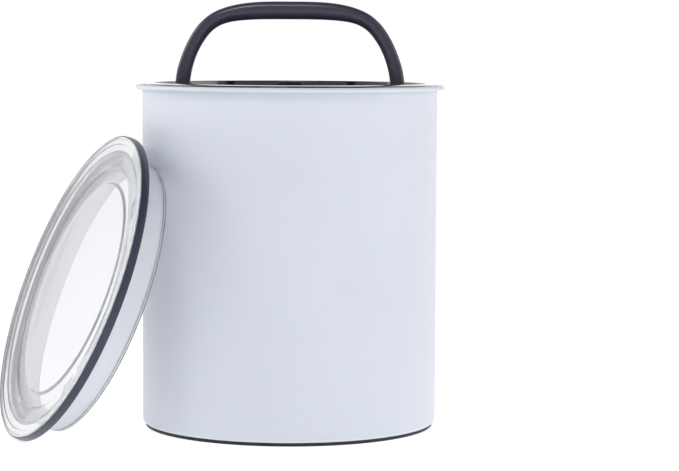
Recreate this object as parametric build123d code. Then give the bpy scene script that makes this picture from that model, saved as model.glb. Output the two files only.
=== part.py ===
from build123d import *
import os
from math import cos, hypot, pi, radians, sin, sqrt, tan

# Coffee canister with a valved inner lid, lengths in millimetres.
# The origin is on the canister's axis, on the surface it stands on. +Z is up, +X is to the
# right and -Y faces the viewer. The handle stands up, so the valve is open, and the clear
# outer lid is off, leaning on the canister's left side.

# Clearances
run_gap = 0.05  # between faces that slide or turn on each other
side_gap = 0.3  # beside moving pieces that only pass each other
lean_gap = 0.3  # between the leaning lid and the canister

# Canister
body_radius = 89.0
body_height = 206.5  # from the ground to the top of the rim
wall = 0.8
corner_radius = 2.0
rim_overhang = 4.15
rim_height = 3.1
rim_bend = 0.6  # inside radius of the rolled rim's outer bends
mouth_bend = 0.4
curl_gap = 0.6  # between the curl's cut edge and the wall

# Base pad
pad_inset = 1.8  # from the wall's face
pad_height = 2.1
pad_width = 15.0
pad_rounding = 0.5
rib_width = 6.0
rib_height = 1.2
rib_inset = 5.1  # from the pad's outer edge to the rib

# Inner lid, upper plate
lid_rise = 0.7  # top of the ring above the rim
ring_inset = 1.7  # from the mouth to the ring
ring_width = 4.0
ring_rounding = 1.2
recess_rounding = 2.0
plate_floor = 3.0
spigot_width = 3.5

# Wiper gasket
gasket_height = 6.0
gasket_web = 3.0
lip_root_shares = ((0.1, 0.3), (0.57, 0.77))  # of the gasket's height
lip_tip_shares = ((0.28, 0.42), (0.76, 0.9))

# Inner lid, lower plate
base_thickness = 2.5
base_inset = 2.2  # from the mouth to the lower plate's edge
base_rounding = 0.8
seat_radius = 7.0
spring_ring_height = 1.5
spring_ring_width = 1.2

# Screws
screw_count = 6
screw_inset = 3.5  # from the spigot to a screw boss
screw_radius = 1.5
screw_grip = 8.0  # length above the lower plate
screw_tip_gap = 0.3
head_radius = 3.0
head_height = 1.9
head_rounding = 0.8
drive_length = 3.4
drive_width = 0.8
drive_depth = 1.0
boss_radius = 3.5

# Handle and its bearings
pivot_depth = 4.6  # from the top of the ring to the pivot axis
pivot_inset = 17.8  # from the inside of the ring to the middle of a hub
leg_width = 8.2
handle_height = 53.8  # from the pivot axis to the top
handle_thickness = 12.0
handle_rounding = 2.6
grip_rounding = 4.2  # of the inner edges at the top of the arch
hub_radius = 6.3
hub_length = 12.5
hub_flare = 2.2
pin_radius = 1.5
lug_width = 3.0
lug_radius = 3.3
# Half of the arch, from the hub up to the middle: shares of half width and of height
arch_outer_shares = (
    (1.0, 0.09), (0.98, 0.242), (0.939, 0.409), (0.866, 0.591), (0.785, 0.73),
    (0.679, 0.838), (0.5625, 0.905), (0.429, 0.952), (0.25, 0.987),
)
arch_inner_shares = (
    (0.881, 0.1), (0.866, 0.19), (0.843, 0.286), (0.799, 0.435), (0.735, 0.576),
    (0.651, 0.684), (0.5436, 0.749), (0.392, 0.784), (0.134, 0.801),
)
arch_crown_share = 0.802

# Cams and valve
valve_travel = 2.0
cam_rise = 0.2  # of the cam beyond the hub, with the handle up
cam_width = 5.0
cam_angles = (-20.0, 110.0)  # where the cam's curve starts and ends, in degrees
cam_steps = 13
bar_drop = 0.3  # from the upper plate down to the bar
bar_thickness = 3.0
bar_width = 8.0
bar_plate_margin = 1.9  # round middle of the bar beyond the spring
tip_width = 7.0
stem_radius = 2.0
stem_tail = 1.0
collar_radius = 3.5
collar_height = 1.0
knob_radius = 8.5
knob_rise = 1.0  # above the ring's top, with the valve open
knob_height = 9.2
knob_wall = 1.6
knob_crown = 2.2
knob_rounding = 1.3
socket_radius = 4.2
bezel_wall = 2.0
bezel_flange = 3.5
bezel_flange_height = 2.0
bezel_height = 7.4  # above the plate's floor
bezel_rounding = 0.7
seat_overlap = 3.5  # plug beyond the hole that it closes
plug_thickness = 2.6
plug_neck = 5.0
plug_rounding = 0.6
clip_width = 2.0  # beyond the stem
clip_thickness = 0.8
clip_groove = 0.5
clip_mouth = 2.4
spring_length = 6.7
spring_gap = 1.2  # between plug and spring
spring_wire = 0.9
spring_turns = 2.5

# Outer lid
flange_overhang = 0.05  # beyond the canister's rim
flange_thickness = 4.6
lid_dish = 4.5  # from the flange's face down to the groove round the middle panel
lid_wall = 1.1  # left behind the groove
lid_edge_rounding = 0.4
skirt_gap = 3.0  # between the skirt's root and the canister's mouth
skirt_taper = 2.9  # how much smaller it is at its end
skirt_wall = 1.8
lid_depth = 21.8
bead_proud = 0.5  # beyond the skirt's end
bead_height = 1.8
bead_rounding = 0.4
seal_overhang = 1.05  # beyond the canister's rim
seal_inset = 0.5  # from the flange's face to the seal
seal_foot_width = 0.2  # hooked under the flange
seal_foot_height = 0.6
seal_rounding = 0.5
lid_tilt = 21.5  # degrees from upright
lid_turn = 22.1  # degrees from -X towards the viewer
lid_bearing = 22.9  # degrees from -X to the middle of the leaning lid
# The steps of the lid's face, from the middle outwards: shares of lid_radius and lid_dish
face_step_shares = (
    (0.691, 0.8), (0.708, 1.0), (0.792, 0.978), (0.805, 0.711), (0.9, 0.378),
    (0.904, 0.267), (0.95, 0.2), (0.953, 0.089), (0.983, 0.067), (0.985, 0.0),
)

# Derived places
mouth_radius = body_radius - wall
rim_radius = body_radius + rim_overhang
pad_radius = body_radius - pad_inset
ring_top = body_height + lid_rise
ring_outer = mouth_radius - ring_inset
ring_inner = ring_outer - ring_width
spigot_inner = ring_inner - spigot_width
pivot_z = ring_top - pivot_depth
pivot_reach = ring_inner - pivot_inset
handle_half_width = pivot_reach + leg_width / 2
plate_top = pivot_z - max(hub_radius, handle_thickness / 2) - side_gap
plate_bottom = plate_top - plate_floor
cam_reach = hub_radius + cam_rise
lift_rate = valve_travel / (pi / 2)  # travel for each radian that the handle turns
cam_far = hypot(cam_reach + lift_rate * radians(cam_angles[1]), lift_rate)
bar_top = plate_bottom - bar_drop
bar_bottom = bar_top - bar_thickness
base_top = bar_bottom - spring_length
base_bottom = base_top - base_thickness
ring_bottom = base_top + gasket_height
plug_radius = seat_radius + seat_overlap
spring_radius = plug_radius + spring_gap + spring_wire / 2
bezel_bore = knob_radius + run_gap
bezel_outer = bezel_bore + bezel_wall
plug_bottom = base_top + valve_travel + run_gap
knob_top = ring_top + knob_rise
knob_bottom = knob_top - knob_height
stem_bottom = plug_bottom - clip_thickness - stem_tail
screw_circle = spigot_inner - boss_radius - screw_inset
lid_radius = rim_radius + flange_overhang
seal_radius = rim_radius + seal_overhang
skirt_radius = mouth_radius - skirt_gap
skirt_end = skirt_radius - skirt_taper
screw_places = [
    (screw_circle * cos(pi * (2 * i + 1) / screw_count), screw_circle * sin(pi * (2 * i + 1) / screw_count))
    for i in range(screw_count)
]


def outline(corners):
    """Face in the XY plane from (x, y, rounding) corners."""
    points = [Vector(x, y) for x, y, rounding in corners]
    joins = []
    for i, (x, y, rounding) in enumerate(corners):
        here = points[i]
        back = (points[i - 1] - here).normalized()
        onward = (points[(i + 1) % len(points)] - here).normalized()
        half = radians(back.get_angle(onward)) / 2
        if rounding == 0:
            joins.append((here, here, here))
            continue
        centre = here + (back + onward).normalized() * (rounding / sin(half))
        middle = centre + (here - centre).normalized() * rounding
        run = rounding / tan(half)
        joins.append((here + back * run, middle, here + onward * run))
    edges = []
    for i, (start, middle, end) in enumerate(joins):
        if start != end:
            edges.append(ThreePointArc(start, middle, end))
        edges.append(Line(end, joins[(i + 1) % len(joins)][0]))
    return make_face(edges)


def turned(*corners):
    """Solid of revolution about Z from (radius, z, rounding) corners."""
    return revolve(Plane.XZ * outline(corners), Axis.Z)


def disc(radius, low, high, place=(0, 0)):
    """Upright cylinder between two heights."""
    centre = Location((place[0], place[1], (low + high) / 2))
    return centre * Cylinder(radius, high - low)


def block(x_range, y_range, z_range):
    """Box between limits along each axis."""
    low = Vector(x_range[0], y_range[0], z_range[0])
    high = Vector(x_range[1], y_range[1], z_range[1])
    size = high - low
    return Location((low + high) * 0.5) * Box(size.X, size.Y, size.Z)


def axle(radius, start, end):
    """Cylinder along X on the pivot axis."""
    place = Location(((start + end) / 2, 0, pivot_z), (0, 90, 0))
    return place * Cylinder(radius, end - start)


def both_sides(make):
    """One piece on the right and one on the left."""
    return make(1) + make(-1)


def canister_shell():
    """Drawn sheet: a pressed floor, a straight wall and a rim rolled outwards."""
    floor_top = pad_height + wall
    rib_outer = pad_radius - rib_inset + run_gap
    rib_inner = rib_outer - rib_width - 2 * run_gap
    rim_bottom = body_height - rim_height
    curl_inside = rim_radius - wall
    curl_edge = body_radius + curl_gap
    rim_rounding = rim_bend + wall
    return turned(
        (0, pad_height, 0),
        (rib_inner, pad_height, 0),
        (rib_inner, pad_height + rib_height, 0),
        (rib_outer, pad_height + rib_height, 0),
        (rib_outer, pad_height, 0),
        (body_radius, pad_height, corner_radius),
        (body_radius, body_height - wall, mouth_bend),
        (curl_inside, body_height - wall, rim_bend),
        (curl_inside, rim_bottom + wall, rim_bend),
        (curl_edge, rim_bottom + wall, 0),
        (curl_edge, rim_bottom, 0),
        (rim_radius, rim_bottom, rim_rounding),
        (rim_radius, body_height, rim_rounding),
        (mouth_radius, body_height, mouth_bend + wall),
        (mouth_radius, floor_top, corner_radius - wall),
        (rib_outer + wall, floor_top, 0),
        (rib_outer + wall, floor_top + rib_height, 0),
        (rib_inner - wall, floor_top + rib_height, 0),
        (rib_inner - wall, floor_top, 0),
        (0, floor_top, 0),
    )


def base_pad():
    """Soft ring under the floor, held by a rib that plugs into the pressed groove."""
    rib_outer = pad_radius - rib_inset
    rib_inner = rib_outer - rib_width
    inner = pad_radius - pad_width
    return turned(
        (inner, 0, pad_rounding),
        (pad_radius, 0, pad_rounding),
        (pad_radius, pad_height, 0),
        (rib_outer, pad_height, 0),
        (rib_outer, pad_height + rib_height, 0),
        (rib_inner, pad_height + rib_height, 0),
        (rib_inner, pad_height, 0),
        (inner, pad_height, 0),
    )


def inner_lid_plate():
    """Upper moulding: raised ring, sunk floor, four lugs, six screw bosses and two slots."""
    plate = turned(
        (bezel_outer, plate_bottom, 0),
        (spigot_inner, plate_bottom, 0),
        (spigot_inner, base_top, 0),
        (ring_inner, base_top, 0),
        (ring_inner, ring_bottom, 0),
        (ring_outer, ring_bottom, 0),
        (ring_outer, ring_top, ring_rounding),
        (ring_inner, ring_top, ring_rounding),
        (ring_inner, plate_top, recess_rounding),
        (bezel_outer, plate_top, 0),
    )
    for place in screw_places:
        plate += disc(boss_radius, base_top, plate_bottom, place)
    hub_side = hub_length / 2 + side_gap
    for side in (1, -1):
        for start in (pivot_reach + hub_side, pivot_reach - hub_side - lug_width):
            ends = sorted((side * start, side * (start + lug_width)))
            plate += block(ends, (-lug_radius, lug_radius), (plate_top, pivot_z))
            plate += axle(lug_radius, *ends)
            plate -= axle(pin_radius, *ends)
        middle = side * pivot_reach
        slot_reach = cam_width / 2 + side_gap
        floor_depth = pivot_z - plate_top
        cam_chord = sqrt(cam_far ** 2 - floor_depth ** 2)
        slot_half = max(cam_chord, tip_width / 2) + side_gap
        plate -= block(
            (middle - slot_reach, middle + slot_reach), (-slot_half, slot_half), (plate_bottom, plate_top)
        )
    screw_top = base_top + screw_grip
    for place in screw_places:
        plate -= disc(screw_radius, base_top, screw_top + screw_tip_gap, place)
    return plate


def inner_lid_base():
    """Lower plate with the valve's hole, a ring round the spring and six screw holes."""
    outer = mouth_radius - base_inset
    ring_inner_radius = spring_radius + spring_wire / 2 + side_gap
    ring_outer_radius = ring_inner_radius + spring_ring_width
    plate = turned(
        (seat_radius, base_bottom, 0),
        (outer, base_bottom, base_rounding),
        (outer, base_top, 0),
        (ring_outer_radius, base_top, 0),
        (ring_outer_radius, base_top + spring_ring_height, 0),
        (ring_inner_radius, base_top + spring_ring_height, 0),
        (ring_inner_radius, base_top, 0),
        (seat_radius, base_top, 0),
    )
    for place in screw_places:
        plate -= disc(screw_radius, base_bottom, base_top, place)
    return plate


def wiper_gasket():
    """Silicone ring clamped between the plates, with two lips that wipe the wall."""
    root = ring_inner + gasket_web
    tip = mouth_radius - run_gap
    corners = [(ring_inner, base_top, 0), (root, base_top, 0)]
    for (root_low, root_high), (tip_low, tip_high) in zip(lip_root_shares, lip_tip_shares):
        corners.append((root, base_top + gasket_height * root_low, 0))
        corners.append((tip, base_top + gasket_height * tip_low, 0))
        corners.append((tip, base_top + gasket_height * tip_high, 0))
        corners.append((root, base_top + gasket_height * root_high, 0))
    corners.append((root, ring_bottom, 0))
    corners.append((ring_inner, ring_bottom, 0))
    return turned(*corners)


def lid_screws():
    """Six screws driven up through the lower plate, with cross recesses."""
    screws = Part()
    head_bottom = base_bottom - head_height
    for x, y in screw_places:
        screw = turned(
            (0, head_bottom, 0),
            (head_radius, head_bottom, head_rounding),
            (head_radius, base_bottom, 0),
            (screw_radius, base_bottom, 0),
            (screw_radius, base_top + screw_grip, screw_tip_gap),
            (0, base_top + screw_grip, 0),
        )
        for length, width in ((drive_length, drive_width), (drive_width, drive_length)):
            screw -= block(
                (-length / 2, length / 2), (-width / 2, width / 2), (head_bottom, head_bottom + drive_depth)
            )
        screws += Location((x, y, 0)) * screw
    return screws


def pivot_pins():
    """Steel pins pressed into the lugs, one for each hub."""
    reach = hub_length / 2 + side_gap + lug_width
    return both_sides(lambda side: axle(pin_radius, side * pivot_reach - reach, side * pivot_reach + reach))


def arch_sections():
    """Sections round the handle's arch, from the right hub to the left, softer inside its top."""
    foot_share = 1 - leg_width / handle_half_width
    half = [((1, 0), (foot_share, 0))] + list(zip(arch_outer_shares, arch_inner_shares))
    left = [((-outer[0], outer[1]), (-inner[0], inner[1])) for outer, inner in reversed(half)]
    sections = []
    for outer, inner in half + [((0, 1), (0, arch_crown_share))] + left:
        inner_rounding = handle_rounding + (grip_rounding - handle_rounding) * outer[1] ** 2
        outer = Vector(handle_half_width * outer[0], 0, pivot_z + handle_height * outer[1])
        inner = Vector(handle_half_width * inner[0], 0, pivot_z + handle_height * inner[1])
        across = outer - inner
        plane = Plane((outer + inner) / 2, x_dir=across, z_dir=across.cross(Vector(0, 1, 0)))
        x, y = across.length / 2, handle_thickness / 2
        section = outline(
            [(-x, -y, inner_rounding), (x, -y, handle_rounding), (x, y, handle_rounding), (-x, y, inner_rounding)]
        )
        sections.append(plane * section)
    return sections


def cam_point(degrees):
    """Point of the cam's curve, which lowers the bar evenly as the handle turns."""
    angle = radians(degrees)
    reach = cam_reach + lift_rate * angle
    y = -reach * sin(angle) - lift_rate * cos(angle)
    z = -reach * cos(angle) + lift_rate * sin(angle)
    return (y, pivot_z + z)


def handle():
    """Arched moulding with rounded edges, flared hubs and a cam on each hub."""
    grip = loft(arch_sections())
    first, last = cam_angles
    curve = [cam_point(first + (last - first) * i / (cam_steps - 1)) for i in range(cam_steps)]
    for side in (1, -1):
        middle = side * pivot_reach
        hub = axle(hub_radius, middle - hub_length / 2, middle + hub_length / 2)
        hub = chamfer(hub.edges().filter_by(GeomType.CIRCLE), hub_flare)
        lobe_edge = Spline(*curve)
        lobe = make_face([lobe_edge, Polyline(curve[-1], (0, pivot_z), curve[0])])
        lobe = extrude(Plane.YZ * lobe, cam_width / 2, both=True)
        grip += hub + Location((middle, 0, 0)) * lobe
        grip -= axle(pin_radius + run_gap, middle - hub_length, middle + hub_length)
    return grip


def valve_bezel():
    """Ring set in the upper plate that the knob slides in."""
    flange_top = plate_top + bezel_flange_height
    top = plate_top + bezel_height
    return turned(
        (bezel_bore, plate_bottom, 0),
        (bezel_outer, plate_bottom, 0),
        (bezel_outer, plate_top, 0),
        (bezel_outer + bezel_flange, plate_top, 0),
        (bezel_outer + bezel_flange, flange_top, bezel_rounding),
        (bezel_outer, flange_top, bezel_rounding),
        (bezel_outer, top, bezel_rounding),
        (bezel_bore, top, 0),
    )


def lift_bar():
    """Bar under the upper plate, with a round middle and a tip under each cam."""
    reach = pivot_reach + cam_width / 2
    bar = block((-reach, reach), (-bar_width / 2, bar_width / 2), (bar_bottom, bar_top))
    bar += disc(spring_radius + spring_wire / 2 + bar_plate_margin, bar_bottom, bar_top)
    tip_top = pivot_z - cam_reach - run_gap
    bar += both_sides(
        lambda side: block(
            sorted((side * (reach - cam_width), side * reach)), (-tip_width / 2, tip_width / 2), (bar_top, tip_top)
        )
    )
    return bar - disc(stem_radius, bar_bottom, bar_top)


def valve_stem():
    """Rod with a collar above the bar and a groove for the clip."""
    groove_top = plug_bottom
    groove_bottom = groove_top - clip_thickness
    groove_radius = stem_radius - clip_groove
    return turned(
        (0, stem_bottom, 0),
        (stem_radius, stem_bottom, 0),
        (stem_radius, groove_bottom, 0),
        (groove_radius, groove_bottom, 0),
        (groove_radius, groove_top, 0),
        (stem_radius, groove_top, 0),
        (stem_radius, bar_top, 0),
        (collar_radius, bar_top, 0),
        (collar_radius, bar_top + collar_height, 0),
        (stem_radius, bar_top + collar_height, 0),
        (stem_radius, knob_top - knob_crown, 0),
        (0, knob_top - knob_crown, 0),
    )


def valve_knob():
    """Hollow button with a socket for the stem."""
    crown_bottom = knob_top - knob_crown
    inside = knob_radius - knob_wall
    return turned(
        (0, crown_bottom, 0),
        (stem_radius, crown_bottom, 0),
        (stem_radius, knob_bottom, 0),
        (socket_radius, knob_bottom, 0),
        (socket_radius, crown_bottom, 0),
        (inside, crown_bottom, 0),
        (inside, knob_bottom, 0),
        (knob_radius, knob_bottom, 0),
        (knob_radius, knob_top, knob_rounding),
        (0, knob_top, 0),
    )


def valve_plug():
    """Silicone disc with a neck up to the bar."""
    plug_top = plug_bottom + plug_thickness
    return turned(
        (stem_radius, plug_bottom, 0),
        (plug_radius, plug_bottom, plug_rounding),
        (plug_radius, plug_top, plug_rounding),
        (plug_neck, plug_top, plug_rounding),
        (plug_neck, bar_bottom, 0),
        (stem_radius, bar_bottom, 0),
    )


def stem_clip():
    """Open clip in the stem's groove, under the plug."""
    low = plug_bottom - clip_thickness
    clip_radius = stem_radius + clip_width
    clip = disc(clip_radius, low, plug_bottom) - disc(stem_radius - clip_groove, low, plug_bottom)
    return clip - block((0, clip_radius), (-clip_mouth / 2, clip_mouth / 2), (low, plug_bottom))


def valve_spring():
    """Round wire wound between the lower plate and the bar."""
    height = spring_length - spring_wire
    path = Helix(height / spring_turns, height, spring_radius, center=(0, 0, base_top + spring_wire / 2))
    section = Plane(path @ 0, z_dir=path % 0) * Circle(spring_wire / 2)
    return sweep(section, path=path, is_frenet=True)


def outer_lid():
    """Clear moulding: a stepped face with a flat back, and a tapered skirt with a bead."""
    dish = [(lid_radius * r, -lid_dish * t) for r, t in face_step_shares]
    back = -lid_dish - lid_wall
    bead_top = bead_height - lid_depth
    corners = [(0, dish[0][1], 0)]
    corners += [(r, z, 0) for r, z in dish]
    corners += [
        (lid_radius, 0, lid_edge_rounding),
        (lid_radius, -flange_thickness, 0),
        (skirt_radius, -flange_thickness, 0),
        (skirt_end, bead_top, 0),
        (skirt_end + bead_proud, bead_top, bead_rounding),
        (skirt_end + bead_proud, -lid_depth, bead_rounding),
        (skirt_end - skirt_wall, -lid_depth, bead_rounding),
        (skirt_radius - skirt_wall, back, 0),
        (0, back, 0),
    ]
    return turned(*corners)


def outer_lid_gasket():
    """Grey band moulded round the flange's edge, with a foot under it."""
    bottom = -flange_thickness - seal_foot_height
    return turned(
        (lid_radius - seal_foot_width, bottom, 0),
        (seal_radius, bottom, seal_rounding),
        (seal_radius, -seal_inset, seal_rounding),
        (lid_radius, -seal_inset, 0),
        (lid_radius, -flange_thickness, 0),
        (lid_radius - seal_foot_width, -flange_thickness, 0),
    )


def lean(part):
    """Puts an outer-lid piece where the lid leans, its seal on the ground, its bead by the wall."""
    tilt = radians(lid_tilt)
    seal_depth = flange_thickness + seal_foot_height - seal_rounding
    seal_centre = seal_radius - seal_rounding
    height = seal_depth * sin(tilt) + seal_centre * cos(tilt) + seal_rounding
    turn = Location((0, 0, 0), (0, 0, 180 + lid_turn)) * Location((0, 0, 0), (0, 90 - lid_tilt, 0))
    bead_centre = skirt_end + bead_proud - bead_rounding
    bead_circle = turn * Location((0, 0, bead_rounding - lid_depth))
    points = [
        (bead_circle * Location((bead_centre * cos(radians(a)), bead_centre * sin(radians(a)), 0))).position
        for a in range(360)
    ]
    bearing = radians(180 + lid_bearing)
    away = Vector(cos(bearing), sin(bearing))
    wanted = body_radius + lean_gap + bead_rounding
    out = body_radius
    for _ in range(8):
        nearest = min(hypot(p.X + away.X * out, p.Y + away.Y * out) for p in points if p.Z > 0)
        out += wanted - nearest
    return Location((away.X * out, away.Y * out, height)) * turn * part


pieces = {
    "canister_shell": canister_shell(),
    "base_pad": base_pad(),
    "inner_lid_plate": inner_lid_plate(),
    "inner_lid_base": inner_lid_base(),
    "wiper_gasket": wiper_gasket(),
    "lid_screws": lid_screws(),
    "pivot_pins": pivot_pins(),
    "handle": handle(),
    "valve_bezel": valve_bezel(),
    "lift_bar": lift_bar(),
    "valve_stem": valve_stem(),
    "valve_knob": valve_knob(),
    "valve_plug": valve_plug(),
    "stem_clip": stem_clip(),
    "valve_spring": valve_spring(),
    "outer_lid": lean(outer_lid()),
    "outer_lid_gasket": lean(outer_lid_gasket()),
}
os.makedirs("parts", exist_ok=True)
for name, piece in pieces.items():
    export_step(piece, f"parts/{name}.step")
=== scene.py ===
from math import cos, pi, radians, sin

import bmesh
import bpy
from mathutils import Matrix, Vector


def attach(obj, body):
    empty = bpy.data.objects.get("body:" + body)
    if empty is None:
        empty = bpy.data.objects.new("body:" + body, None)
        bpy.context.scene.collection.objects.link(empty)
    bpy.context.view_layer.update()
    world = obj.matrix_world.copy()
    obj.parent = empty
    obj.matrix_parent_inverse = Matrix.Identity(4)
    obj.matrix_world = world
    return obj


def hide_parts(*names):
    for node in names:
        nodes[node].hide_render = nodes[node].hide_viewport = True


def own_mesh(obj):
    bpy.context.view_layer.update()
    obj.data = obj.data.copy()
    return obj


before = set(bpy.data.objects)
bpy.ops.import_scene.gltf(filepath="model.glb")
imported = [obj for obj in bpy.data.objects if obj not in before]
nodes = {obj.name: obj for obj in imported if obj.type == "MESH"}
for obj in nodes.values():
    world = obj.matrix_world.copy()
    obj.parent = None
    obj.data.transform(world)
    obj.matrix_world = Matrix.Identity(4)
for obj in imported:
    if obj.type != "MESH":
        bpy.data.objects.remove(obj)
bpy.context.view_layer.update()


# The camera: it stands in front of the canister, a little above the rim, as in the photograph, and
# looks slightly down.
camera_place = (0.03035, -1.4505, 0.23376)
camera_pitch = 0.08171
camera_roll = 0.00494
camera_lens = 126.99
film_width = 36

bpy.ops.object.select_all(action="DESELECT")
camera_turn = Matrix.Rotation(pi / 2 - camera_pitch, 4, "X") @ Matrix.Rotation(camera_roll, 4, "Z")
bpy.ops.object.camera_add(location=camera_place, rotation=camera_turn.to_euler())
camera = bpy.context.object
camera.name = "studio_camera"
camera.data.lens = camera_lens
camera.data.sensor_width = film_width
bpy.context.scene.camera = camera


# The studio: a pale floor that runs out of sight and white walls, brighter behind, under a dark
# ceiling, with a soft lamp at each side and one above the viewer.
floor_size = 60
floor_squares = 8
floor_colour = (0.60, 0.60, 0.61)
floor_glow = 0.72
back_light = (1.04, 1.04, 1.04)
front_light = (0.49, 0.50, 0.525)
ceiling_light = (0.09, 0.10, 0.13)
front_to_back = (-0.9, 0.5)
wall_to_ceiling = (0.55, 0.85)
lamp_aim = (0, 0, 0.1)
# Name, place, size in metres and power in watts of each lamp.
lamps = (
    ("lamp_left", (-1.5, 0.1, 0.9), 0.8, 5),
    ("lamp_right", (1.6, -0.2, 0.5), 0.8, 3),
    ("lamp_top", (-0.25, -1.0, 1.45), 0.5, 6.5),
)


def material(name, colour, roughness, **sockets):
    """New material with its own colour, gloss and other sockets of the shader."""
    made = bpy.data.materials.new(name)
    made.use_nodes = True
    shader = made.node_tree.nodes["Principled BSDF"]
    shader.inputs["Base Color"].default_value = (*colour, 1)
    shader.inputs["Roughness"].default_value = roughness
    for socket, value in sockets.items():
        shader.inputs[socket.replace("_", " ")].default_value = value
    return made


def node(tree, kind, inputs, **settings):
    """New shader node with its settings, and its inputs linked or set."""
    made = tree.nodes.new("ShaderNode" + kind)
    for name, value in settings.items():
        setattr(made, name, value)
    for name, value in inputs.items():
        if isinstance(value, bpy.types.NodeSocket):
            tree.links.new(value, made.inputs[name])
        else:
            made.inputs[name].default_value = value
    return made


def light_between(tree, reach, limits, near, far):
    """Light that fades from near to far, each a colour or a socket, as reach passes its limits."""
    values = {"Value": reach, "From Min": limits[0], "From Max": limits[1]}
    share = node(tree, "MapRange", values, interpolation_type="SMOOTHSTEP").outputs["Result"]
    # A Mix node's sockets 0, 6 and 7 are its share and two colours, and its output 2 is a colour.
    return node(tree, "Mix", {0: share, 6: near, 7: far}, data_type="RGBA").outputs[2]


bpy.ops.mesh.primitive_grid_add(
    x_subdivisions=floor_squares, y_subdivisions=floor_squares, size=floor_size
)
floor = bpy.context.object
floor.name = "studio_floor"
floor_shine = {"Emission_Color": (1, 1, 1, 1), "Emission_Strength": floor_glow}
floor.data.materials.append(material("floor_paint", floor_colour, 0.9, **floor_shine))

world = bpy.data.worlds.new("studio_light")
world.use_nodes = True
bpy.context.scene.world = world
sky = world.node_tree
view = node(sky, "TexCoord", {}).outputs["Generated"]
axes = node(sky, "SeparateXYZ", {"Vector": view}).outputs
walls = light_between(sky, axes["Y"], front_to_back, (*front_light, 1), (*back_light, 1))
light = light_between(sky, axes["Z"], wall_to_ceiling, walls, (*ceiling_light, 1))
sky.links.new(light, sky.nodes["Background"].inputs["Color"])

for name, place, size, power in lamps:
    bpy.ops.object.light_add(type="AREA", location=place)
    lamp = bpy.context.object
    lamp.name = name
    lamp.data.size = size
    lamp.data.energy = power
    lamp.rotation_euler = (Vector(lamp_aim) - lamp.location).to_track_quat("-Z", "Y").to_euler()
bpy.context.scene.view_settings.view_transform = "Standard"


# The canister: one drawn sheet of steel with a groove pressed round its floor and its rim rolled
# outwards and under, finished in matte blue-grey powder coat.
mm = 0.001
body_radius = 89.0
body_steps = 192
sheet = 0.8
floor_level = 2.1
floor_top = floor_level + sheet
groove_inner = 75.25
groove_outer = 82.95
groove_rise = 1.2
heel_rounding = 2.0
rim_radius = 93.15
rim_crest = 206.1
rim_under = 205.7
rim_foot = 203.4
curl_end = 90.4
# Each corner of a turned outline is a radius, a height and a rounding, in millimetres.
body_corners = (
    (0, floor_level, 0),
    (groove_inner + sheet, floor_level, 0),
    (groove_inner + sheet, floor_level + groove_rise, 0),
    (groove_outer - sheet, floor_level + groove_rise, 0),
    (groove_outer - sheet, floor_level, 0),
    (body_radius, floor_level, heel_rounding),
    (body_radius, rim_under, 0.4),
    (rim_radius - sheet, rim_under, 0.7),
    (rim_radius - sheet, rim_foot + sheet, 0.7),
    (curl_end, rim_foot + sheet, 0.4),
    (curl_end, rim_foot, 0.4),
    (rim_radius, rim_foot, 1.5),
    (rim_radius, rim_crest, 1.3),
    (body_radius - sheet, rim_crest, 0.8),
    (body_radius - sheet, floor_top, heel_rounding - sheet),
    (groove_outer, floor_top, 0),
    (groove_outer, floor_top + groove_rise, 0),
    (groove_inner, floor_top + groove_rise, 0),
    (groove_inner, floor_top, 0),
    (0, floor_top, 0),
)
rounding_steps = 6
same_place = 0.001
crease = 40
shade_stops = (0.35, 0.65)
shade_detail = 4
grain_detail = 2


def alone(piece):
    """Selects one piece and makes it the active one."""
    bpy.ops.object.select_all(action="DESELECT")
    piece.select_set(True)
    bpy.context.view_layer.objects.active = piece


def smooth(piece, degrees):
    """Merges a piece's doubles, turns its faces outwards and smooths it up to an angle."""
    alone(piece)
    bpy.ops.object.mode_set(mode="EDIT")
    bpy.ops.mesh.select_all(action="SELECT")
    bpy.ops.mesh.remove_doubles(threshold=same_place * mm)
    bpy.ops.mesh.normals_make_consistent(inside=False)
    bpy.ops.object.mode_set(mode="OBJECT")
    bpy.ops.object.shade_smooth_by_angle(angle=radians(degrees))


def round_corners(piece, corners, rounding):
    """Rounds the outline's corners that share one rounding, in edit mode."""
    shape = bmesh.from_edit_mesh(piece.data)
    wanted = [corner for corner in corners if corner[2] == rounding]
    for vertex in shape.verts:
        x, z = vertex.co.x / mm, vertex.co.z / mm
        vertex.select = any(abs(x - c[0]) + abs(z - c[1]) < same_place for c in wanted)
    shape.select_flush_mode()
    bmesh.update_edit_mesh(piece.data)
    bpy.ops.mesh.bevel(offset=rounding * mm, segments=rounding_steps, affect="VERTICES")


def spun(name, corners, steps):
    """Piece turned about Z from corners of radius, height and rounding, in millimetres."""
    bpy.ops.object.select_all(action="DESELECT")
    bpy.ops.mesh.primitive_plane_add(size=mm)
    piece = bpy.context.object
    piece.name = name
    bpy.ops.object.mode_set(mode="EDIT")
    bpy.ops.mesh.merge(type="CENTER")
    bpy.ops.transform.translate(value=(corners[0][0] * mm, 0, corners[0][1] * mm))
    for here, there in zip(corners, corners[1:] + corners[:1]):
        step = ((there[0] - here[0]) * mm, 0, (there[1] - here[1]) * mm)
        bpy.ops.mesh.extrude_vertices_move(TRANSFORM_OT_translate={"value": step})
    bpy.ops.mesh.select_all(action="SELECT")
    bpy.ops.mesh.remove_doubles(threshold=same_place * mm)
    for rounding in sorted({corner[2] for corner in corners} - {0}):
        round_corners(piece, corners, rounding)
    bpy.ops.mesh.select_all(action="SELECT")
    bpy.ops.mesh.spin(steps=steps, angle=2 * pi, center=(0, 0, 0), axis=(0, 0, 1))
    bpy.ops.object.mode_set(mode="OBJECT")
    smooth(piece, crease)
    return piece


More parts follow.
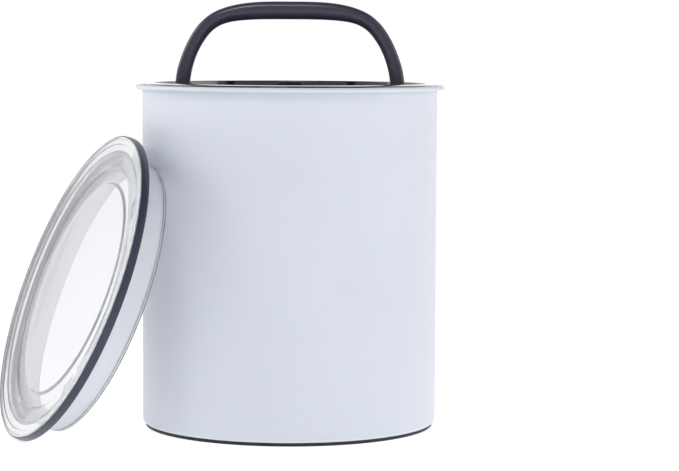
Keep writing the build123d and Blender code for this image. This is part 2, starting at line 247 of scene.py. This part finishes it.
def specks(finish, size, detail):
    """Random pattern of a finish, in patches of a size in millimetres."""
    tree = finish.node_tree
    place = node(tree, "TexCoord", {}).outputs["Object"]
    inputs = {"Vector": place, "Scale": 1 / (size * mm), "Detail": detail}
    return node(tree, "TexNoise", inputs).outputs["Fac"]


def mottled(finish, size, light, dark):
    """Makes the colour drift between two shades in patches of a size in millimetres."""
    tree = finish.node_tree
    shades = node(tree, "ValToRGB", {"Fac": specks(finish, size, shade_detail)})
    for stop, position, shade in zip(shades.color_ramp.elements, shade_stops, (dark, light)):
        stop.position = position
        stop.color = (*shade, 1)
    tree.links.new(shades.outputs["Color"], tree.nodes["Principled BSDF"].inputs["Base Color"])


def grained(finish, size, depth, strength):
    """Raises a fine grain of a size and a depth in millimetres."""
    tree = finish.node_tree
    height = specks(finish, size, grain_detail)
    grain = node(tree, "Bump", {"Height": height, "Distance": depth * mm, "Strength": strength})
    tree.links.new(grain.outputs["Normal"], tree.nodes["Principled BSDF"].inputs["Normal"])


powder_coat = material("powder_coat", (0.71, 0.745, 0.81), 0.45)
mottled(powder_coat, 60, (0.72, 0.755, 0.82), (0.70, 0.735, 0.80))
grained(powder_coat, 0.9, 0.03, 0.5)

canister = spun("canister_body", body_corners, body_steps)
canister.data.materials.append(powder_coat)
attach(canister, "canister")
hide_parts("canister_shell")


# The base pad: a black silicone ring that keeps the steel off the worktop. It is moulded, and its
# rib is plugged into the groove pressed round the floor.
def dressed(name, finish):
    """Gives a piece of the CAD model its finish."""
    slots = nodes[name].data.materials
    slots.clear()
    slots.append(finish)


pad_silicone = material("pad_silicone", (0.008, 0.010, 0.016), 0.55)
grained(pad_silicone, 0.4, 0.02, 0.5)
dressed("base_pad", pad_silicone)


# The inner lid's upper plate: one glossy black moulding, a sloped ring round a sunk floor. It has
# four lugs for the handle's pins, six screw bosses underneath and a slot for each cam.
bezel_hole = 10.55
plate_bottom = 193.0
plate_top = 196.0
spigot_inner = 79.0
spigot_foot = 183.0
ring_inner = 82.5
ring_outer = 86.5
ring_foot = 189.0
ring_edge = 206.8
ring_top = 207.5
plate_steps = 256
plate_corners = (
    (bezel_hole, plate_bottom, 0),
    (spigot_inner, plate_bottom, 0.4),
    (spigot_inner, spigot_foot, 0),
    (ring_inner, spigot_foot, 0),
    (ring_inner, ring_foot, 0),
    (ring_outer, ring_foot, 0.3),
    (ring_outer, ring_edge, 0.4),
    (ring_inner, ring_top, 0.5),
    (ring_inner, plate_top, 2.0),
    (bezel_hole, plate_top, 0),
)
pivot_height = 202.6
pivot_reach = 64.7
lug_reach = 8.05
lug_thickness = 3.0
lug_width = 6.6
pin_radius = 1.5
boss_radius = 3.5
screw_count = 6
screw_circle = 72.0
screw_radius = 1.5
screw_top = 191.3
slot_width = 5.6
slot_length = 12.94
grown_overlap = 0.2
cutter_overrun = 0.5
drill_length = 20
rod_steps = 48


def set_in_place(piece):
    """Puts a piece's place, turn and scale in its mesh."""
    alone(piece)
    bpy.ops.object.transform_apply(location=True, rotation=True, scale=True)


def block(size, middle):
    """Block of a size round a middle, in millimetres."""
    bpy.ops.object.select_all(action="DESELECT")
    location = [part * mm for part in middle]
    bpy.ops.mesh.primitive_cube_add(size=mm, location=location, scale=size)
    piece = bpy.context.object
    set_in_place(piece)
    return piece


def rod(radius, length, middle, turn=0):
    """Round rod of a length round a middle, upright or turned about Y, in millimetres."""
    bpy.ops.object.select_all(action="DESELECT")
    location = [part * mm for part in middle]
    bpy.ops.mesh.primitive_cylinder_add(
        vertices=rod_steps, radius=radius * mm, depth=length * mm,
        location=location, rotation=(0, turn, 0),
    )
    piece = bpy.context.object
    set_in_place(piece)
    return piece


def post(radius, place, bottom, top):
    """Upright rod at a place, from one height to another, in millimetres."""
    return rod(radius, top - bottom, (*place, (top + bottom) / 2))


def pivot_rod(radius, length, x):
    """Rod on the handle's axis round a place along it, in millimetres."""
    return rod(radius, length, (x, 0, pivot_height), pi / 2)


def joined(pieces):
    """Makes one piece of several."""
    alone(pieces[0])
    for piece in pieces[1:]:
        piece.select_set(True)
    bpy.ops.object.join()
    return bpy.context.object


def cut_or_grown(piece, tool, operation):
    """Cuts a tool from a piece, or grows the two together, and deletes the tool."""
    alone(piece)
    change = piece.modifiers.new("change", "BOOLEAN")
    change.operation = operation
    change.object = tool
    change.solver = "EXACT"
    bpy.ops.object.modifier_apply(modifier=change.name)
    alone(tool)
    bpy.ops.object.delete()


def lug(middle):
    """Upright lug with a round top about the handle's axis."""
    height = pivot_height - plate_top + grown_overlap
    piece = block((lug_thickness, lug_width, height), (middle, 0, pivot_height - height / 2))
    cut_or_grown(piece, pivot_rod(lug_width / 2, lug_thickness, middle), "UNION")
    return piece


screw_angles = [pi * (2 * i + 1) / screw_count for i in range(screw_count)]
screw_places = [(screw_circle * cos(turn), screw_circle * sin(turn)) for turn in screw_angles]
lid_plate = spun("lid_plate", plate_corners, plate_steps)
lug_places = (pivot_reach - lug_reach, pivot_reach + lug_reach)
added = [lug(side * x) for side in (1, -1) for x in lug_places]
boss_top = plate_bottom + grown_overlap
added += [post(boss_radius, place, spigot_foot, boss_top) for place in screw_places]
cut_or_grown(lid_plate, joined(added), "UNION")
drill_foot = spigot_foot - cutter_overrun
holes = [post(screw_radius, place, drill_foot, screw_top) for place in screw_places]
slot_height = plate_top - plate_bottom + 2 * cutter_overrun
for x in (pivot_reach, -pivot_reach):
    holes.append(pivot_rod(pin_radius, drill_length, x))
    slot_middle = (x, 0, (plate_top + plate_bottom) / 2)
    holes.append(block((slot_width, slot_length, slot_height), slot_middle))
cut_or_grown(lid_plate, joined(holes), "DIFFERENCE")
smooth(lid_plate, crease)
lid_plastic = material("lid_plastic", (0.007, 0.008, 0.010), 0.1, Coat_Weight=1.0)
mottled(lid_plastic, 8, (0.008, 0.009, 0.011), (0.006, 0.007, 0.009))
grained(lid_plastic, 0.9, 0.002, 0.5)
lid_plate.data.materials.append(lid_plastic)
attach(lid_plate, "inner_lid")
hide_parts("inner_lid_plate")


# The inner lid's lower plate: a black moulding with a spark-eroded grain, held to the upper one by
# six screws from below. The valve's hole is in its middle.
under_plastic = material("under_plastic", (0.014, 0.015, 0.018), 0.42)
grained(under_plastic, 0.3, 0.02, 0.8)
dressed("inner_lid_base", under_plastic)


# The wiper gasket: a lip ring of soft grey silicone, moulded, clamped between the two plates and
# rubbing on the canister's wall.
soft_sheen = {"Sheen_Weight": 0.15, "Sheen_Roughness": 0.5}
wiper_silicone = material("wiper_silicone", (0.030, 0.032, 0.042), 0.5, **soft_sheen)
grained(wiper_silicone, 0.25, 0.01, 0.6)
dressed("wiper_gasket", wiper_silicone)


# The screws and the handle's pins: turned stainless steel. The screws hold the lower plate, and the
# pins are pressed into the lugs.
screw_steel = material("screw_steel", (0.55, 0.55, 0.56), 0.32, Metallic=1.0)
grained(screw_steel, 0.12, 0.004, 0.6)
dressed("lid_screws", screw_steel)
pin_steel = material("pin_steel", (0.60, 0.60, 0.61), 0.2, Metallic=1.0)
grained(pin_steel, 0.08, 0.002, 0.5)
dressed("pivot_pins", pin_steel)


# The handle: one black moulding with a soft matte skin, an arch with two flared hubs that turn on
# the pins. A cam on each hub pushes the lift bar down as the handle folds.
arch_points = (
    ((69.4, 0.0), (60.9, 0.0)),
    ((69.1, 5.0), (60.5, 5.2)),
    ((68.1, 12.0), (59.5, 11.2)),
    ((66.2, 18.7), (58.0, 16.9)),
    ((63.2, 26.4), (55.6, 23.2)),
    ((59.7, 33.2), (52.3, 29.2)),
    ((54.9, 40.0), (47.8, 35.1)),
    ((48.2, 45.9), (42.7, 38.9)),
    ((40.2, 49.7), (36.6, 41.1)),
    ((31.0, 52.1), (29.0, 42.2)),
    ((20.3, 53.4), (19.5, 42.8)),
    ((9.5, 53.76), (9.3, 42.98)),
)
arch_crown = (0.0, 53.77, 0.0, 43.0)
arch_steps = 5
arch_rise = 53.8
handle_half = 6.0
foot_rounding = 2.6
top_rounding = 4.0
grip_rounding = 5.2
edge_steps = 8
hub_half = 6.25
hub_radius = 6.3
hub_flare = 2.2
hub_rounding = 0.3
hub_steps = 96
cam_reach = 6.5
cam_rate = 1.2732
cam_turn = (-20, 110)
cam_steps = 26
cam_half = 2.5
bore_radius = 1.55
hub_corners = (
    (0, -hub_half, 0),
    (hub_radius - hub_flare, -hub_half, hub_rounding),
    (hub_radius, hub_flare - hub_half, hub_rounding),
    (hub_radius, hub_half - hub_flare, hub_rounding),
    (hub_radius - hub_flare, hub_half, hub_rounding),
    (0, hub_half, 0),
)
handle_crease = 35


def between(before, here, there, after, share):
    """Point on a smooth curve through four points, between the middle two."""
    point = []
    for a, b, c, d in zip(before, here, there, after):
        bend = 2 * a - 5 * b + 4 * c - d + (3 * b - a - 3 * c + d) * share
        point.append(b + (c - a + bend * share) * share / 2)
    return point


def arch_rows():
    """Outer and inner points of the arch from the right foot to the left one."""
    right = [outer + inner for outer, inner in arch_points]
    left = [(-row[0], row[1], -row[2], row[3]) for row in reversed(right)]
    rows = [*right, arch_crown, *left]
    ends = [rows[0], *rows, rows[-1]]
    curve = [
        between(*ends[i:i + 4], step / arch_steps)
        for i in range(len(rows) - 1) for step in range(arch_steps)
    ]
    return curve + [rows[-1]]


def arch_section(outer_x, outer_rise, inner_x, inner_rise):
    """Points round one rounded section of the arch, softer towards the grip."""
    outer, inner = Vector((outer_x, 0, outer_rise)), Vector((inner_x, 0, inner_rise))
    across = (outer - inner).normalized()
    middle, half = (outer + inner) / 2, (outer - inner).length / 2
    share = (outer_rise / arch_rise) ** 2
    top = foot_rounding + (top_rounding - foot_rounding) * share
    grip = foot_rounding + (grip_rounding - foot_rounding) * share
    edges = ((1, 1, top), (-1, 1, grip), (-1, -1, grip), (1, -1, top))
    points = []
    for quarter, (side, along, rounding) in enumerate(edges):
        for step in range(edge_steps):
            angle = pi / 2 * (quarter + step / (edge_steps - 1))
            u = side * (half - rounding) + rounding * cos(angle)
            v = along * (handle_half - rounding) + rounding * sin(angle)
            points.append((middle + across * u + Vector((0, v, pivot_height))) * mm)
    return points


def tube(name, sections):
    """Closed tube through sections of equally many points."""
    bpy.ops.object.select_all(action="DESELECT")
    bpy.ops.mesh.primitive_circle_add(vertices=len(sections[0]), radius=mm, fill_type="NGON")
    piece = bpy.context.object
    piece.name = name
    bpy.ops.object.mode_set(mode="EDIT")
    for i, section in enumerate(sections):
        if i:
            bpy.ops.mesh.extrude_region_move()
        shape = bmesh.from_edit_mesh(piece.data)
        end = next(face for face in shape.faces if face.select and len(face.verts) == len(section))
        for loop, point in zip(end.loops, section):
            loop.vert.co = point
        bmesh.update_edit_mesh(piece.data)
    bpy.ops.object.mode_set(mode="OBJECT")
    return piece


def cam_outline():
    """Points of a cam across its axis: a curve that moves the bar evenly, and the axis."""
    points = []
    for step in range(cam_steps + 1):
        angle = radians(cam_turn[0] + (cam_turn[1] - cam_turn[0]) * step / cam_steps)
        reach = cam_reach + cam_rate * angle
        y = -reach * sin(angle) - cam_rate * cos(angle)
        z = -reach * cos(angle) + cam_rate * sin(angle)
        points.append((y, z))
    return points + [(0.0, 0.0)]


def handle_foot(middle):
    """Hub with a flare at both ends and its cam, round a place on the handle's axis."""
    hub = spun("hub", hub_corners, hub_steps)
    hub.rotation_euler = (0, pi / 2, 0)
    hub.location = (middle * mm, 0, pivot_height * mm)
    set_in_place(hub)
    ends = [
        [Vector((middle + x, y, pivot_height + z)) * mm for y, z in cam_outline()]
        for x in (-cam_half, cam_half)
    ]
    cut_or_grown(hub, tube("cam", ends), "UNION")
    return hub


arch = tube("handle_grip", [arch_section(*row) for row in arch_rows()])
smooth(arch, crease)
for middle in (pivot_reach, -pivot_reach):
    cut_or_grown(arch, handle_foot(middle), "UNION")
    cut_or_grown(arch, pivot_rod(bore_radius, drill_length, middle), "DIFFERENCE")
smooth(arch, handle_crease)
handle_plastic = material("handle_plastic", (0.043, 0.043, 0.066), 0.28)
mottled(handle_plastic, 3, (0.048, 0.048, 0.072), (0.038, 0.038, 0.060))
grained(handle_plastic, 0.35, 0.02, 0.6)
arch.data.materials.append(handle_plastic)
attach(arch, "handle")
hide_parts("handle")


# The valve's bezel: a black moulding, a ring with a flange, pressed from above into the hole in the
# upper plate. The knob slides in it.
valve_steps = 128
bezel_bore = 8.55
bezel_flange = 14.05
bezel_ledge = 198.0
bezel_top = 203.4
bezel_corners = (
    (bezel_bore, plate_bottom, 0),
    (bezel_hole, plate_bottom, 0),
    (bezel_hole, plate_top, 0),
    (bezel_flange, plate_top, 0),
    (bezel_flange, bezel_ledge, 0.7),
    (bezel_hole, bezel_ledge, 0.7),
    (bezel_hole, bezel_top, 0.7),
    (bezel_bore, bezel_top, 0.3),
)
bezel_plastic = material("bezel_plastic", (0.006, 0.006, 0.008), 0.4)
grained(bezel_plastic, 0.5, 0.006, 0.5)
bezel = spun("knob_bezel", bezel_corners, valve_steps)
bezel.data.materials.append(bezel_plastic)
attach(bezel, "inner_lid")
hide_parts("valve_bezel")


# The valve's knob: a dull black moulding, a cap that slides in the bezel. The collar inside it is
# pressed on the top of the stem.
knob_radius = 8.5
knob_wall = 1.6
collar_bore = 2.0
collar_radius = 4.2
knob_foot = 199.0
knob_roof = 206.0
knob_edge = 207.9
knob_top = 208.2
crown_radius = 5.0
knob_corners = (
    (0, knob_roof, 0),
    (collar_bore, knob_roof, 0),
    (collar_bore, knob_foot, 0),
    (collar_radius, knob_foot, 0.3),
    (collar_radius, knob_roof, 0.4),
    (knob_radius - knob_wall, knob_roof, 0.4),
    (knob_radius - knob_wall, knob_foot, 0.3),
    (knob_radius, knob_foot, 0.3),
    (knob_radius, knob_edge, 1.3),
    (crown_radius, knob_top, 1.5),
    (0, knob_top, 0),
)
knob_plastic = material("knob_plastic", (0.006, 0.006, 0.007), 0.6, IOR=1.3)
grained(knob_plastic, 0.3, 0.008, 0.6)
knob = spun("vent_knob", knob_corners, valve_steps)
knob.data.materials.append(knob_plastic)
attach(knob, "valve")
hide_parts("valve_knob")


# The lift bar: a moulded bar of slippery black acetal across the lid. The handle's cams push it
# down and it takes the stem along.
bar_plastic = material("bar_plastic", (0.018, 0.018, 0.020), 0.35)
grained(bar_plastic, 0.6, 0.008, 0.6)
dressed("lift_bar", bar_plastic)


# The valve's stem and clip: a turned steel rod through knob, bar and plug, and a clip blanked from
# steel sheet that holds the plug on it.
stem_steel = material("stem_steel", (0.58, 0.58, 0.59), 0.24, Metallic=1.0)
grained(stem_steel, 0.1, 0.003, 0.6)
dressed("valve_stem", stem_steel)
clip_steel = material("clip_steel", (0.42, 0.41, 0.40), 0.35, Metallic=1.0)
grained(clip_steel, 0.15, 0.004, 0.6)
dressed("stem_clip", clip_steel)


# The valve's spring: steel wire wound in two and a half turns. It stands on the lower plate and is
# pressed together when the bar comes down.
spring_foot = 183.0
spring_length = 6.7
spring_wire = 0.9
spring_turns = 2.5
spring_reach = 12.15
spring_steps = 48
wire_points = 16


def wire_section(turn):
    """Points round the spring's wire after so many turns."""
    rise = (spring_length - spring_wire) / spring_turns
    out = Vector((cos(2 * pi * turn), sin(2 * pi * turn), 0))
    round_way = Vector((-out.y, out.x, 0)) * 2 * pi * spring_reach
    up = (round_way + Vector((0, 0, rise))).normalized().cross(out)
    middle = out * spring_reach + Vector((0, 0, spring_foot + spring_wire / 2 + rise * turn))
    angles = [2 * pi * i / wire_points for i in range(wire_points)]
    return [
        (middle + (out * cos(angle) + up * sin(angle)) * spring_wire / 2) * mm for angle in angles
    ]


turns = [i / spring_steps for i in range(round(spring_turns * spring_steps) + 1)]
spring = tube("plug_spring", [wire_section(turn) for turn in turns])
smooth(spring, crease)
spring_steel = material("spring_steel", (0.50, 0.50, 0.50), 0.28, Metallic=1.0)
grained(spring_steel, 0.1, 0.003, 0.6)
spring.data.materials.append(spring_steel)
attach(spring, "inner_lid")
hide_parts("valve_spring")
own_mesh(spring)


# The valve's plug: a moulded disc of soft grey silicone on the stem's end. It closes the lower
# plate's hole from above.
plug_silicone = material("plug_silicone", (0.045, 0.047, 0.058), 0.5, **soft_sheen)
grained(plug_silicone, 0.25, 0.01, 0.6)
dressed("valve_plug", plug_silicone)


# The outer lid: one clear moulding, a stepped dish inside a flat flange, and a tapered skirt with a
# bead at its end. It leans on the canister's left side with its face up.
lean_place = (-0.1287985, -0.0544066, 0.0894027)
lean_back = 21.5
lean_bearing = 22.1
clear_steps = 256
clear_corners = (
    (0, -3.6, 0),
    (64.6, -3.6, 0.5),
    (65.8, -4.5, 0.5),
    (73.8, -4.4, 0.7),
    (75.0, -3.2, 0.7),
    (83.9, -1.7, 0.15),
    (84.2, -1.2, 0.15),
    (88.5, -0.9, 0.15),
    (88.8, -0.4, 0.15),
    (91.6, -0.3, 0.1),
    (91.8, 0, 0.1),
    (93.2, 0, 0.4),
    (93.2, -4.6, 0.3),
    (85.2, -4.6, 0.4),
    (82.3, -20.0, 0.3),
    (82.8, -20.0, 0.2),
    (82.8, -21.8, 0.4),
    (80.5, -21.8, 0.4),
    (83.4, -5.6, 0.6),
    (0, -5.6, 0),
)
skirt_inside = 80
skirt_depths = (5.6, 19.9)
shaded_step_depths = (19.9, 20.3)
shaded_edge_depths = (21.5, 22.0)
clear_ior = 1.57
# Name, colour, roughness and share of light let through, of the lid's face, then of its skirt, the
# ledge at the skirt's end and the bead's edge. The ledge's grey and the bead edge's near-black are
# painted shade: darker copies of the same clear plastic that stand in for the way refraction
# darkens its edges.
clear_finishes = (
    ("clear_plastic", (0.93, 0.935, 0.95), 0.015, 0.8),
    ("skirt_plastic", (0.90, 0.925, 0.975), 0.5, 0.6),
    ("step_painted_shade", (0.42, 0.44, 0.50), 0.3, 0.4),
    ("edge_painted_shade", (0.07, 0.075, 0.10), 0.2, 0.2),
)


def lean(piece):
    """Puts a piece of the outer lid where the lid leans."""
    piece.rotation_euler = (0, radians(90 - lean_back), radians(180 + lean_bearing))
    piece.location = lean_place
    set_in_place(piece)


clear_lid = spun("clear_lid", clear_corners, clear_steps)
for name, colour, roughness, share in clear_finishes:
    finish = material(name, colour, roughness, Transmission_Weight=share, IOR=clear_ior)
    clear_lid.data.materials.append(finish)
# Outside the skirt's inner radius, faces are picked by depth. The skirt takes its own finish, and
# the ledge and the bead's edge take the painted shade copies of the clear plastic.
for face in clear_lid.data.polygons:
    depth = -face.center.z / mm
    for index, (start, end) in enumerate((skirt_depths, shaded_step_depths, shaded_edge_depths), 1):
        if start < depth < end and face.center.xy.length > skirt_inside * mm:
            face.material_index = index
lean(clear_lid)
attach(clear_lid, "outer_lid")
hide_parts("outer_lid")


# The outer lid's seal: a slate-blue silicone band moulded round the flange's edge, with a foot
# under it.
seal_corners = (
    (93.25, -0.5, 0.1),
    (93.8, -0.5, 0.3),
    (94.2, -3.0, 0.8),
    (94.2, -5.2, 0.5),
    (93.0, -5.2, 0.1),
    (93.0, -4.65, 0),
    (93.25, -4.65, 0),
)
seal_silicone = material("seal_silicone", (0.036, 0.040, 0.070), 0.3)
mottled(seal_silicone, 6, (0.039, 0.043, 0.075), (0.033, 0.037, 0.065))
grained(seal_silicone, 0.4, 0.01, 0.6)
lid_seal = spun("lid_seal", seal_corners, clear_steps)
lid_seal.data.materials.append(seal_silicone)
lean(lid_seal)
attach(lid_seal, "outer_lid")
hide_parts("outer_lid_gasket")
